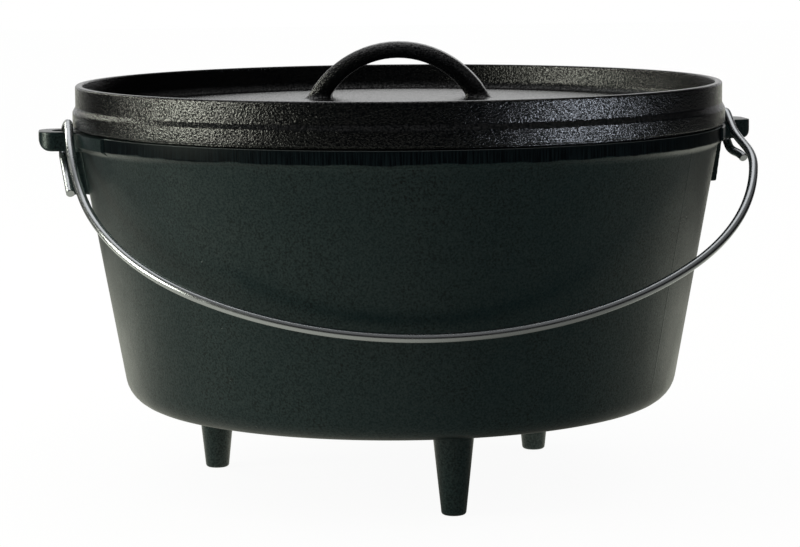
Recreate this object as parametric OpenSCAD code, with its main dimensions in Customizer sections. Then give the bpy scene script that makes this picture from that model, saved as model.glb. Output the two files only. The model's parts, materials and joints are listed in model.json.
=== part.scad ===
// Camp dutch oven: a deep three-legged cast iron pot, a flanged coal-tray lid and a wire bail.
// Millimetres, +Z up. The origin is on the ground, on the axis of the pot.
// X runs through the two lugs, and the bail hangs at the front, on the -Y side.

/* [Pot] */
// Outer radius of the ground band round the rim
rim_r = 162.1; // [120:0.1:200]
// Height of the band round the rim
rim_h = 6.7; // [4:0.1:12]
// How far the band stands out from the wall below it
rim_proud = 1.8; // [1:0.1:4]
// Height of the pot from its bottom to its rim, without the legs
pot_h = 138.5; // [90:0.5:180]
// Lean of the wall, in degrees from upright
wall_draft = 10; // [4:0.5:14]
// Thickness of the wall
wall_t = 4.8; // [4:0.1:7]
// Thickness of the bottom
floor_t = 5.5; // [4.5:0.1:9]
// Radius of the corner between bottom and wall, outside
corner_r = 15; // [9:0.5:22]
// Radius of the corner between bottom and wall, inside
inner_corner_r = 12; // [6:0.5:18]
// Radius of the rim's two edges
rim_edge_r = 0.6; // [0.3:0.1:1]
// Height of the slope under the band
band_blend_h = 2.2; // [1:0.1:5]
// How far the iron beside the lugs, where the band isn't ground, stands out from the band
pad_proud = 1.5; // [0.8:0.1:2]
// How far that iron runs from the middle of a lug to each side, in degrees
pad_turn = 21.5; // [12:0.5:30]

/* [Legs] */
// Height of the pot's bottom above the ground
leg_h = 41.5; // [25:0.5:60]
// Diameter of a leg at the pot
leg_top_d = 20.5; // [15:0.5:24]
// Diameter of a leg just above its foot
leg_foot_d = 11.8; // [8:0.1:14]
// Radius of the circle that the legs stand on
leg_circle_r = 99.5; // [80:0.5:105]
// Turn of the leg pattern, in degrees, from one leg straight at the front
leg_turn = 6; // [-20:1:20]
// Radius of the blend between a leg and the bottom
leg_blend_r = 5; // [2:0.5:7]
// Radius of the worn edge round a foot
foot_edge_r = 1.6; // [0.5:0.1:2.5]

/* [Lugs] */
// Reach of a lug beyond the rim band
lug_reach = 18.2; // [17:0.1:28]
// Width of a lug
lug_w = 26.4; // [24:0.2:34]
// Thickness of a lug, down from the rim
lug_t = 9.5; // [7:0.1:13]
// Radius of the two corners at the tip of a lug, seen from above
lug_corner_r = 8; // [4:0.5:11]
// Radius of the lower edge at the tip of a lug
lug_under_r = 5; // [2:0.5:6]
// Radius of the blend between a lug and the rim band
lug_root_r = 6; // [3:0.5:7]
// Diameter of the eye that holds the bail's hook
eye_d = 12; // [11:0.1:14]

/* [Ribs] */
// Thickness of the rib under a lug
rib_t = 6.5; // [4:0.5:6.5]
// Depth of the rib below its lug
rib_h = 23.5; // [12:0.5:40]
// Reach of the rib beyond the rim band, at the lug
rib_top_reach = 7.8; // [5:0.1:11]
// Reach of the rib beyond the rim band, at its lower end
rib_foot_reach = 4.6; // [2:0.1:8]
// Gap between the eye's edge and the near side of the rib, seen from above
rib_set_back = 0.5; // [0.2:0.1:0.7]
// Radius of the blend between a rib and its lug
rib_blend_r = 4; // [2:0.5:4]

/* [Lid] */
// Reach of the lid's lower wall beyond the rim band
lid_overhang = 1.3; // [1:0.1:5]
// How far the lid's upper wall is set in from its lower wall
lid_step = 1.5; // [0.8:0.1:3]
// Height of the lid's outer wall
lid_wall_h = 20.4; // [16:0.1:32]
// Height of the lower wall, up to the step
lid_band_h = 8; // [5:0.1:10]
// Gap between the lid's lower edge and the rim
lid_edge_gap = 1.3; // [0.8:0.1:3]
// Running gap between the lid's seat and the rim
seat_gap = 0.3; // [0.2:0.05:0.6]
// Width of the lid's seat on the rim, measured in from the pot's inner edge outwards
seat_w = 4; // [2:0.1:5]
// Thickness of the lip at its top
lip_t = 3.5; // [3:0.1:5]
// Lean of the lip's inside, in degrees from upright
lip_lean = 5; // [2:0.5:9]
// Depth of the coal tray at its edge, below the lip
tray_depth = 13.5; // [9:0.1:15]
// Rise of the plate from the tray's edge to its middle
dome_h = 6; // [2:0.1:9]
// Thickness of the plate
plate_t = 4.8; // [4:0.1:7]
// Depth of the ring under the lid that centres it in the pot
ring_h = 6; // [3:0.1:12]
// Thickness of that ring
ring_t = 4.2; // [3:0.1:7]
// Gap between that ring and the inside of the pot, at the rim
ring_gap = 1.5; // [0.8:0.1:3]
// Radius of the lip's rounded edges
lip_edge_r = 1.4; // [0.5:0.1:1.5]
// Radius of the corner where the tray meets the lip
tray_corner_r = 5; // [2:0.5:7]

/* [Lid handle] */
// Height of the handle's top above the middle of the plate
grip_h = 27.3; // [20:0.1:45]
// Thickness of the handle at its top
grip_t = 7.9; // [6:0.1:11]
// Width of the handle's strap
grip_w = 20; // [14:0.5:28]
// Radius of the handle's arch, outside
grip_outer_r = 51.8; // [44:0.1:65]
// Radius of the handle's arch, inside
grip_inner_r = 40; // [32:0.1:43]
// Radius of the strap's rounded edges, outside
grip_edge_r = 4; // [2:0.5:6]
// Radius of the strap's rounded edges, inside
grip_inner_edge_r = 2.5; // [1:0.5:4]
// Turn of the lid on the pot, from its handle in line with the lugs
grip_turn = 10.5; // [0:0.5:45]

/* [Bail] */
// Diameter of the bail's wire
wire_d = 4.4; // [3.5:0.1:5]
// Running gap between the bail's legs and the lid
bail_gap = 0.7; // [0.4:0.1:3]
// Drop of the bail beyond half its width
bail_extra_drop = 4.1; // [2:0.1:20]
// How much the radius of the bail's middle is larger than half its width
bail_flatten = 19.6; // [10:0.1:50]
// How much the radius of the bail's shoulders is smaller than half its width
bail_tighten = 32.6; // [12:0.1:50]
// How far the whole bail sits to the right in its eyes
bail_shift = 0.4; // [0:0.1:0.6]
// How far the bail's loop is bent to the right of its hooks
bail_sway = 2.8; // [0:0.1:3.5]
// How far the bail's loop is twisted, its right side up, in degrees
bail_twist = 2.7; // [0:0.1:4]
// Length of each leg, from the hinge line, that is neither bent nor twisted
sway_start = 10; // [8:0.5:16]
// Length over which the bend and the twist come in
sway_run = 45; // [40:0.5:80]
// Angle of the bail below level, hanging at the front
bail_hang = 31; // [20:1:32]
// Running gap between a hook and the bar in front of its eye
hook_gap = 0.45; // [0.3:0.05:0.8]
// Sideways step from the bail's leg to the tail of its hook
hook_step = 2.6; // [0:0.1:3]
// Length of the left hook's straight tail
left_tail = 32; // [10:0.5:36]
// How far that tail's end leans in towards the pot
tail_lean = 2.3; // [0:0.1:2.5]
// Length of the right hook's tail before it kicks outwards
right_tail = 3; // [1:0.5:8]
// Radius of the right tail's two bends
kick_r = 8; // [6:0.5:14]
// Turn of the right tail's bend outwards, in degrees
kick_out = 48; // [20:1:80]
// Turn of the right tail's bend back, in degrees
kick_back = 42; // [10:1:60]

/* [Hidden] */

$fn = 96;
// How far a cutting shape runs past what it cuts
overcut = 1;
// Sides of the bail's wire
wire_sides = 20;
iron = [0.11, 0.12, 0.12];
steel = [0.74, 0.75, 0.76];

// Pot
rim_z = leg_h + pot_h;
band_z = rim_z - rim_h;
draft_tan = tan(wall_draft);
base_r = rim_r - rim_proud - (band_z - leg_h) * draft_tan;
inner_base_r = base_r - wall_t / cos(wall_draft);
inner_rim_r = inner_base_r + pot_h * draft_tan;
floor_z = leg_h + floor_t;
floor_r = inner_base_r + floor_t * draft_tan;
leg_sink = floor_t / 2;
leg_count = 3;

// Lugs, ribs and eyes
bail_half_w = rim_r + lid_overhang + bail_gap + wire_d / 2;
eye_x = bail_half_w + hook_step / 2;
tip_x = rim_r + lug_reach;
lug_z = rim_z - lug_t;
rib_y = eye_d / 2 + rib_set_back;
rib_foot_z = lug_z - rib_h;

pad_r = rim_r + pad_proud;

// Lid
lid_r = rim_r + lid_overhang;
lid_upper_r = lid_r - lid_step;
lid_edge_z = rim_z + lid_edge_gap;
lip_z = lid_edge_z + lid_wall_h;
step_z = lid_edge_z + lid_band_h;
tray_z = lip_z - tray_depth;
crown_z = tray_z + dome_h;
seat_z = rim_z + seat_gap;
seat_r = inner_rim_r + seat_w;
ring_r = inner_rim_r - ring_gap;
ring_z = rim_z - ring_h;
ring_foot_r = ring_r - ring_h * draft_tan;
ring_in_r = ring_foot_r - ring_t;
ring_root_r = ring_in_r - ring_t;
lip_in_r = lid_upper_r - lip_t;
tray_r = lip_in_r - tray_depth * tan(lip_lean);
dome_edge_r = tray_r - tray_corner_r;
dome_r = (dome_edge_r * dome_edge_r + dome_h * dome_h) / (2 * dome_h);
grip_top_z = crown_z + grip_h;
grip_sink = plate_t * 3 / 4;
grip_root_z = crown_z - grip_sink;

// Bail
hook_x = bail_half_w + hook_step;
bar_w = (lug_w - eye_d) / 2;
bar_y = -(eye_d + bar_w) / 2;
bar_z = rim_z - lug_t / 2;
hook_clear_r = norm([bar_w / 2, lug_t / 2]) + hook_gap;
hook_r = hook_clear_r + wire_d / 2;
hook_tilt = atan(hook_step / (2 * hook_r));
hook_bend_r = hook_r / cos(hook_tilt);
bail_drop = bail_half_w + bail_extra_drop;
middle_r = bail_half_w + bail_flatten;
shoulder_r = bail_half_w - bail_tighten;
shoulder_rise = sqrt(pow(middle_r - shoulder_r, 2) - pow(bail_tighten, 2));
leg_run = bail_drop - middle_r + shoulder_rise;
shoulder_turn = atan2(shoulder_rise, bail_tighten);
kick_centre = [hook_x + kick_r, -right_tail];
kick_back_centre = kick_centre - 2 * kick_r * [cos(kick_out), sin(kick_out)];

// Points along an arc, from one angle to another
function arc(centre, r, from, to, steps = 10) = [
    for (i = [0 : steps])
        let (a = from + (to - from) * i / steps)
            centre + r * [cos(a), sin(a)]];

// Distance from a leaning wall's foot to the centre of a corner of radius r inside it
function corner_inset(r) = r * (1 - sin(wall_draft)) / cos(wall_draft);

// The pot's section: outside up to the rim, and back down the inside
function pot_outline() = concat(
    [[0, leg_h]],
    arc([base_r - corner_inset(corner_r), leg_h + corner_r], corner_r, -90, -wall_draft),
    [[rim_r - rim_proud - band_blend_h * draft_tan, band_z - band_blend_h], [rim_r, band_z]],
    arc([rim_r - rim_edge_r, rim_z - rim_edge_r], rim_edge_r, 0, 90, 3),
    arc([inner_rim_r + rim_edge_r, rim_z - rim_edge_r], rim_edge_r, 90, 180 - wall_draft, 3),
    arc([floor_r - corner_inset(inner_corner_r), floor_z + inner_corner_r],
        inner_corner_r, -wall_draft, -90),
    [[0, floor_z]]);

// A leg's section, from the middle of its foot up into the pot's bottom
function leg_outline() = concat(
    [[0, 0]],
    arc([leg_foot_d / 2 - foot_edge_r, foot_edge_r], foot_edge_r, -90, 0, 4),
    arc([leg_top_d / 2 + leg_blend_r, leg_h - leg_blend_r], leg_blend_r, 180, 90, 6),
    [[leg_top_d / 2 + leg_blend_r, leg_h + leg_sink], [0, leg_h + leg_sink]]);

// The lid's section: over the plate and the lip, down the outside and back underneath
function lid_outline() = concat(
    arc([0, crown_z - dome_r], dome_r, 90, 90 - asin(dome_edge_r / dome_r), 14),
    arc([tray_r - tray_corner_r, tray_z + tray_corner_r], tray_corner_r, -90, -lip_lean, 6),
    arc([lip_in_r + lip_edge_r, lip_z - lip_edge_r], lip_edge_r, 180 - lip_lean, 90, 4),
    arc([lid_upper_r - lip_edge_r, lip_z - lip_edge_r], lip_edge_r, 90, 0, 4),
    [[lid_upper_r, step_z + lid_step]],
    arc([lid_r - lip_edge_r, step_z - lip_edge_r / 2], lip_edge_r, 60, 0, 4),
    arc([lid_r - lip_edge_r, lid_edge_z + lip_edge_r], lip_edge_r, 0, -90, 4),
    [[seat_r, lid_edge_z], [seat_r, seat_z], [ring_r, seat_z]],
    [[ring_foot_r, ring_z], [ring_in_r, ring_z], [ring_in_r, tray_z - plate_t]],
    arc([0, crown_z - plate_t - dome_r], dome_r, 90 - asin(ring_root_r / dome_r), 90, 14));

// Stations along a bent wire, each a point, a direction and a normal: an arc in a level plane
function bend(centre, r, from, to, z, up, steps) = [
    for (i = [0 : steps])
        let (a = from + (to - from) * i / steps, way = sign(to - from))
            [[centre.x + r * cos(a), centre.y + r * sin(a), z], way * [-sin(a), cos(a), 0], [0, 0, up]]];

// Stations round the right hook, from its leg above the bar to its tail below the bar
function hook_bend(steps) = [
    for (i = [0 : steps])
        let (a = 180 * i / steps, top = [-sin(hook_tilt), 0, cos(hook_tilt)], back = [0, 1, 0])
            [[eye_x, 0, 0] + hook_bend_r * (cos(a) * top + sin(a) * back),
                cos(a) * back - sin(a) * top, cos(a) * top + sin(a) * back]];

// All stations but the first, for a bend that starts where another one ends
function onward(stations) = [for (i = [1 : len(stations) - 1]) stations[i]];

// Stations along the right leg, between its shoulder and its hook
function leg_stations(steps) = [
    for (i = [1 : steps - 1])
        [[bail_half_w, -leg_run * (1 - i / steps), hook_r], [0, 1, 0], [0, 0, 1]]];

// The right side of the bail laid level, from its middle to the end of the hook's bend
function right_side() = concat(
    bend([0, middle_r - bail_drop], middle_r, -90, -shoulder_turn, hook_r, 1, 12),
    onward(bend([bail_tighten, -leg_run], shoulder_r, -shoulder_turn, 0, hook_r, 1, 14)),
    leg_stations(5),
    hook_bend(16));

// A plain straight tail below the bar
function straight_tail() =
    let (course = [-tail_lean, -left_tail, 0])
        [[[hook_x, 0, -hook_r] + course, course / norm(course), [0, 0, -1]]];

// A tail below the bar that kicks outwards and back
function kicked_tail() = concat(
    bend(kick_centre, kick_r, 180, 180 + kick_out, -hook_r, -1, 8),
    onward(bend(kick_back_centre, kick_r, kick_out, kick_out - kick_back, -hook_r, -1, 6)));

// The same stations mirrored to the left and turned round, up to the middle of the bail
function left_side(stations) = [
    for (i = [len(stations) - 1 : -1 : 1])
        let (s = stations[i])
            [[-s[0].x, s[0].y, s[0].z], [s[1].x, -s[1].y, -s[1].z], [-s[2].x, s[2].y, s[2].z]]];

// A smooth step from 0 to 1
function ease(t) = let (u = max(0, min(1, t))) u * u * (3 - 2 * u);

// A point of the level bail, moved by its shift, and in its loop above the bars by its sway and twist
function swayed(p) =
    let (e = p.z > 0 ? ease((-p.y - sway_start) / sway_run) : 0)
        [p.x + bail_shift + bail_sway * e, p.y, p.z + p.x * tan(bail_twist) * e];

// Stations moved in that way, each one turned square to the wire's new course
function bent(stations) = [
    for (i = [0 : len(stations) - 1])
        let (
            last = len(stations) - 1,
            course = swayed(stations[min(last, i + 1)][0]) - swayed(stations[max(0, i - 1)][0]),
            way = i == 0 || i == last ? stations[i][1] : course / norm(course),
            lean = stations[i][2] - way * (way * stations[i][2]))
            [swayed(stations[i][0]), way, lean / norm(lean)]];

module leg() {
    rotate_extrude() polygon(leg_outline());
}

// The iron left on the band beside a lug, where the grinder stopped
module pad() {
    wall_r = rim_r - rim_proud - wall_t / 2;
    rotate(-pad_turn)
        rotate_extrude(angle = 2 * pad_turn, $fn = 180)
            polygon([
                [wall_r, band_z - band_blend_h],
                [rim_r - rim_proud, band_z - band_blend_h],
                [pad_r, band_z],
                [pad_r, rim_z - rim_edge_r],
                [wall_r, rim_z - rim_edge_r]]);
}

// A lug seen from above, with its blends into the rim band
module lug_plan() {
    sunk_x = inner_rim_r + wall_t / 2;
    root_y = lug_w / 2 + lug_root_r;
    root_x = sqrt(pow(pad_r + lug_root_r, 2) - root_y * root_y);
    difference() {
        union() {
            translate([sunk_x, -lug_w / 2])
                square([tip_x - lug_corner_r - sunk_x, lug_w]);
            translate([sunk_x, -lug_w / 2 + lug_corner_r])
                square([tip_x - sunk_x, lug_w - 2 * lug_corner_r]);
            for (side = [-1, 1])
                translate([tip_x - lug_corner_r, side * (lug_w / 2 - lug_corner_r)])
                    circle(lug_corner_r);
            translate([sunk_x, -root_y])
                square([root_x - sunk_x, 2 * root_y]);
        }
        for (side = [-1, 1])
            translate([root_x, side * root_y])
                circle(lug_root_r);
    }
}

// The side view that rounds the lower edge at a lug's tip
module lug_side() {
    square([tip_x - lug_under_r, lug_t]);
    translate([0, lug_under_r])
        square([tip_x, lug_t - lug_under_r]);
    translate([tip_x - lug_under_r, lug_under_r])
        circle(lug_under_r);
}

module lug() {
    difference() {
        intersection() {
            translate([0, 0, lug_z])
                linear_extrude(lug_t) lug_plan();
            translate([0, lug_w, lug_z])
                rotate([90, 0, 0])
                    linear_extrude(2 * lug_w) lug_side();
        }
        translate([eye_x, 0, lug_z - overcut])
            cylinder(d = eye_d, h = lug_t + 2 * overcut);
    }
}

// The upright web that carries a lug, behind its eye
module rib() {
    wall_x = rim_r - rim_proud - wall_t / 2;
    rise = rib_foot_z - band_z;
    blend_x = rim_r + rib_top_reach + rib_blend_r;
    translate([0, rib_y + rib_t, 0])
        rotate([90, 0, 0])
            linear_extrude(rib_t)
                difference() {
                    polygon([
                        [wall_x + rise * draft_tan, rib_foot_z],
                        [rim_r + rib_foot_reach, rib_foot_z],
                        [rim_r + rib_top_reach, lug_z - rib_blend_r],
                        [blend_x, lug_z - rib_blend_r],
                        [blend_x, lug_z + lug_t / 2],
                        [wall_x, lug_z + lug_t / 2]]);
                    translate([blend_x, lug_z - rib_blend_r])
                        circle(rib_blend_r);
                }
}

module pot() {
    color(iron) {
        rotate_extrude($fn = 180) polygon(pot_outline());
        for (i = [0 : leg_count - 1])
            rotate(leg_turn - 90 + i * 360 / leg_count)
                translate([leg_circle_r, 0, 0])
                    leg();
        for (side = [0, 1])
            mirror([side, 0, 0]) {
                pad();
                lug();
                rib();
            }
    }
}

// A disc on edge with rounded rims: the outside of the handle's arch
module grip_outside() {
    rotate([90, 0, 0])
        rotate_extrude($fn = 120)
            union() {
                translate([0, -grip_w / 2])
                    square([grip_outer_r - grip_edge_r, grip_w]);
                translate([0, -grip_w / 2 + grip_edge_r])
                    square([grip_outer_r, grip_w - 2 * grip_edge_r]);
                for (side = [-1, 1])
                    translate([grip_outer_r - grip_edge_r, side * (grip_w / 2 - grip_edge_r)])
                        circle(grip_edge_r);
            }
}

// The finger space under the handle's arch, flared at both sides
module grip_inside() {
    flare_r = grip_inner_r + grip_inner_edge_r;
    rotate([90, 0, 0])
        rotate_extrude($fn = 120)
            difference() {
                translate([0, -grip_w / 2 - overcut])
                    square([flare_r, grip_w + 2 * overcut]);
                translate([grip_inner_r, -grip_w / 2 + grip_inner_edge_r])
                    square([grip_inner_edge_r + overcut, grip_w - 2 * grip_inner_edge_r]);
                for (side = [-1, 1])
                    translate([flare_r, side * (grip_w / 2 - grip_inner_edge_r)])
                        circle(grip_inner_edge_r);
            }
}

module lid_handle() {
    rotate(-grip_turn)
        intersection() {
            difference() {
                translate([0, 0, grip_top_z - grip_outer_r])
                    grip_outside();
                translate([0, 0, grip_top_z - grip_t - grip_inner_r])
                    grip_inside();
            }
            translate([-grip_outer_r, -grip_w, grip_root_z])
                cube([2 * grip_outer_r, 2 * grip_w, grip_h + plate_t]);
        }
}

module lid() {
    color(iron) {
        rotate_extrude($fn = 180) polygon(lid_outline());
        lid_handle();
    }
}

// A wire of round section swept along its stations, closed at both ends
module swept_wire(stations) {
    last = wire_sides * (len(stations) - 1);
    polyhedron(
        points = [
            for (s = stations)
                for (k = [0 : wire_sides - 1])
                    let (a = 360 * k / wire_sides)
                        s[0] + wire_d / 2 * (cos(a) * s[2] + sin(a) * cross(s[1], s[2]))],
        faces = concat(
            [for (i = [0 : wire_sides : last - 1])
                for (k = [0 : wire_sides - 1])
                    let (next = (k + 1) % wire_sides)
                        [i + k, i + wire_sides + k, i + wire_sides + next]],
            [for (i = [0 : wire_sides : last - 1])
                for (k = [0 : wire_sides - 1])
                    let (next = (k + 1) % wire_sides)
                        [i + k, i + wire_sides + next, i + next]],
            [for (k = [1 : wire_sides - 2]) [0, k, k + 1]],
            [for (k = [1 : wire_sides - 2]) [last, last + k + 1, last + k]]));
}

module bail() {
    color(steel)
        translate([0, bar_y, bar_z])
            rotate([bail_hang, 0, 0])
                swept_wire(bent(concat(
                    left_side(concat(right_side(), straight_tail())),
                    right_side(),
                    kicked_tail())));
}

pot();
lid();
bail();
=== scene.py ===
"""A camp dutch oven dressed for the eye: two iron castings, a wire bail and their studio."""

import json
import math

import bmesh
import bpy
from bpy.props import FloatProperty, FloatVectorProperty, IntProperty, PointerProperty
from mathutils import Matrix, Vector


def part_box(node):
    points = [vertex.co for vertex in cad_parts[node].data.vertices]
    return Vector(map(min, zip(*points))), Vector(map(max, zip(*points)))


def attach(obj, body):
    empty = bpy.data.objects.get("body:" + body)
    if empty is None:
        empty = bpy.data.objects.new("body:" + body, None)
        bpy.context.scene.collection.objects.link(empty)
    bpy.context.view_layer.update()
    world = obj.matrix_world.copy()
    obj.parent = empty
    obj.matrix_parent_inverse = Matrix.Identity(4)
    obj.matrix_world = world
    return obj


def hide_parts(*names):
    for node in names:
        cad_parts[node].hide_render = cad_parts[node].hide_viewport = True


bl_info = {
    "name": "Camp Dutch Oven",
    "version": (1, 0, 0),
    "blender": (4, 5, 0),
    "location": "View3D > Sidebar > Oven",
    "description": "Builds a camp dutch oven from its frame, and a studio to see it in",
    "category": "Add Mesh",
}

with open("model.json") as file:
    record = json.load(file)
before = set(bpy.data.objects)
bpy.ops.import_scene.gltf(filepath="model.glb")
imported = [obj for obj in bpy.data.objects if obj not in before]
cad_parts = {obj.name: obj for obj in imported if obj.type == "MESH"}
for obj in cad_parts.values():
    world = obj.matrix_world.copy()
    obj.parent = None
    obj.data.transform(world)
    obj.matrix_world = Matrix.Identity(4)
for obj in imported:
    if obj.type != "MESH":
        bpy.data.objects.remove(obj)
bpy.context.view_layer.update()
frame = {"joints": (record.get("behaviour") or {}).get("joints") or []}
POT_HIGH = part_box("pot")[1]
LID_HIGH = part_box("lid")[1]

MM = 0.001
# Points closer than this are one
TOUCH = 1e-7

# Facets round the turned shapes, and the longest step along their sections
POT_SIDES, LEG_SIDES, EYE_SIDES, LID_SIDES = 288, 64, 48, 320
LONGEST_STEP = 9 * MM
# Steps along a lug's flare, half the wall behind it, the lid's plate, its underside and its handle
FLARE_STEPS, WALL_STEPS, PLATE_STEPS, UNDER_STEPS, HANDLE_STEPS = 8, 8, 24, 20, 64
# Steps along the wire's middle, shoulder, leg and hook, and the two bends of its right tail
MIDDLE_STEPS, SHOULDER_STEPS, LEG_STEPS, HOOK_STEPS = 40, 48, 10, 32
KICK_OUT_STEPS, KICK_BACK_STEPS = 14, 12


# Settings

def linear(code):
    """A hex sRGB colour as three linear values."""
    parts = [int(code[i:i + 2], 16) / 255 for i in (1, 3, 5)]
    return [p / 12.92 if p <= 0.04045 else ((p + 0.055) / 1.055) ** 2.4 for p in parts]


def size(name, description, millimetres):
    """A length setting, given in millimetres and kept in metres."""
    return FloatProperty(name=name, description=description, default=millimetres * MM,
                         unit="LENGTH", precision=4)


def turn(name, description, degrees):
    """An angle setting, given in degrees."""
    return FloatProperty(name=name, description=description, default=math.radians(degrees),
                         subtype="ANGLE")


def colour(name, description, code):
    """A colour setting, given as hex sRGB."""
    return FloatVectorProperty(name=name, description=description, default=linear(code),
                               size=3, min=0, max=1, subtype="COLOR")


class PotSettings(bpy.types.PropertyGroup):
    """Sizes of the pot casting"""
    rim_r: size("Rim radius", "Outer radius of the ground band round the rim", 162.1)
    rim_h: size("Rim height", "Height of that band", 6.7)
    rim_proud: size("Rim proud", "How far the band stands out from the wall", 1.8)
    rim_edge_r: size("Rim edge", "Radius of the rim's two edges", 0.6)
    blend_h: size("Band blend", "Height of the slope between the wall and the band", 2.2)
    blend_r: size("Band root", "Radius between the wall and that slope", 4)
    band_edge_r: size("Band edge", "Radius of the band's lower edge", 0.9)
    rim_z: size("Rim level", "Level of the rim above the ground", POT_HIGH.z / MM)
    wall_lean: turn("Wall lean", "Lean of the wall from upright", 10)
    wall_t: size("Wall thickness", "Thickness of the wall", 4.8)
    floor_t: size("Bottom thickness", "Thickness of the bottom", 5.5)
    corner_r: size("Outer corner", "Radius between bottom and wall, outside", 15)
    inner_corner_r: size("Inner corner", "Radius between bottom and wall, inside", 12)
    leg_h: size("Leg height", "Level of the bottom above the ground", 41.5)
    leg_top_d: size("Leg top", "Diameter of a leg at the bottom of the pot", 20.5)
    leg_foot_d: size("Leg foot", "Diameter of a leg at its foot", 11.8)
    leg_circle_r: size("Leg circle", "Radius of the circle of legs", 99.5)
    leg_turn: turn("Leg turn", "Turn of the legs from one straight at the front", 6)
    leg_blend_r: size("Leg blend", "Radius between a leg and the bottom", 5)
    foot_edge_r: size("Foot edge", "Radius round a foot", 1.6)
    tip_x: size("Lug tip", "Distance of a lug's tip from the middle", POT_HIGH.x / MM)
    lug_w: size("Lug width", "Width of a lug", 26.4)
    lug_t: size("Lug thickness", "Thickness of a lug", 9.5)
    lug_corner_r: size("Lug corner", "Radius of a lug's corners, seen from above", 8)
    lug_under_r: size("Lug underside", "Radius of the lower edge at a lug's tip", 5)
    lug_root_r: size("Lug root", "Radius between a lug and the band", 6)
    eye_d: size("Eye", "Diameter of the eye in a lug", 12)
    eye_x: size("Eye place", "Distance of an eye from the middle", 167.6)
    rib_t: size("Rib thickness", "Thickness of the rib under a lug", 6.5)
    rib_y: size("Rib place", "Distance of the rib's near side from the eye's middle", 6.5)
    rib_h: size("Rib depth", "Depth of the rib below its lug", 23.5)
    rib_top: size("Rib top reach", "Reach of the rib beyond the band at its top", 7.8)
    rib_foot: size("Rib foot reach", "Reach of the rib beyond the band at its foot", 4.6)
    rib_edge_r: size("Rib edge", "Radius of the rib's foot", 0.8)
    rib_root_r: size("Rib root", "Radius between the rib and its lug", 4)
    pad_proud: size("Pad proud", "Iron that the grinder left on the band beside a lug", 1.5)
    pad_end: turn("Pad end", "Where that iron ends, from the lug's middle", 21.5)
    pad_fade: size("Pad fade", "Length over which that iron runs out", 1.2)
    seam_proud: size("Seam proud", "Height of the mould's seam on the wall", 0.08)
    seam_half: size("Seam half", "Half the width of that seam", 0.6)
    seam_turn: turn("Seam turn", "Where the seam runs, from the right lug towards the front", 37.5)


class LidSettings(bpy.types.PropertyGroup):
    """Sizes of the lid casting"""
    outer_r: size("Outer radius", "Radius of the lower wall", LID_HIGH.x / MM)
    step: size("Step", "How far the upper wall is set in", 1.5)
    edge_z: size("Edge level", "Level of the lower edge", 181.3)
    step_z: size("Step level", "Level of the step", 189.3)
    lip_z: size("Lip level", "Level of the lip", 201.7)
    step_r: size("Step radius", "Radius of the step's two bends", 2.4)
    wall_edge_r: size("Wall edge", "Radius of the wall's lower edge", 0.5)
    lip_t: size("Lip thickness", "Thickness of the lip at its top", 3.5)
    lip_out_r: size("Lip outside", "Radius of the lip's outer edge", 1.2)
    lip_in_r: size("Lip inside", "Radius of the lip's inner edge", 0.9)
    lip_lean: turn("Lip lean", "Lean of the lip's inside from upright", 5)
    tray_depth: size("Tray depth", "Depth of the coal tray at its edge", 13.5)
    tray_corner_r: size("Tray corner", "Radius between tray and lip", 5)
    dome_h: size("Dome", "Rise of the plate to its middle", 6)
    plate_t: size("Plate", "Thickness of the plate", 4.8)
    seat_r: size("Seat radius", "Outer radius of the seat on the rim", 160.6)
    seat_z: size("Seat level", "Level of the seat", 180.3)
    seat_edge_r: size("Seat edge", "Radius of the seat's outer edge", 0.2)
    seat_root_r: size("Seat root", "Radius between the seat and the wall's lower edge", 0.3)
    ring_r: size("Ring radius", "Outer radius of the ring that centres the lid", 155.1)
    ring_foot_r: size("Ring foot", "Outer radius of that ring at its foot", 154.05)
    ring_t: size("Ring thickness", "Thickness of that ring", 4.2)
    ring_h: size("Ring height", "Height of that ring below the seat", 6.3)
    ring_edge_r: size("Ring edge", "Radius of that ring's lower edges", 1)
    ring_root_r: size("Ring root", "Radius between that ring and the seat", 0.5)
    plate_root_r: size("Plate root", "Radius between that ring and the plate", 2)
    grip_top_z: size("Handle level", "Level of the handle's top", LID_HIGH.z / MM)
    grip_t: size("Handle thickness", "Thickness of the handle at its top", 7.9)
    grip_w: size("Handle width", "Width of the handle's strap", 20)
    grip_outer_r: size("Handle outside", "Radius of the handle's arch, outside", 51.8)
    grip_inner_r: size("Handle inside", "Radius of the handle's arch, inside", 40)
    grip_edge_r: size("Handle edge", "Radius of the strap's outer edges", 5.2)
    grip_inner_edge_r: size("Handle inner edge", "Radius of the strap's inner edges", 2.5)
    grip_blend_r: size("Handle blend", "Radius between the handle and the plate", 2)
    grip_turn: turn("Lid turn", "Turn of the lid's handle out of line with the lugs", 10.5)


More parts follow.
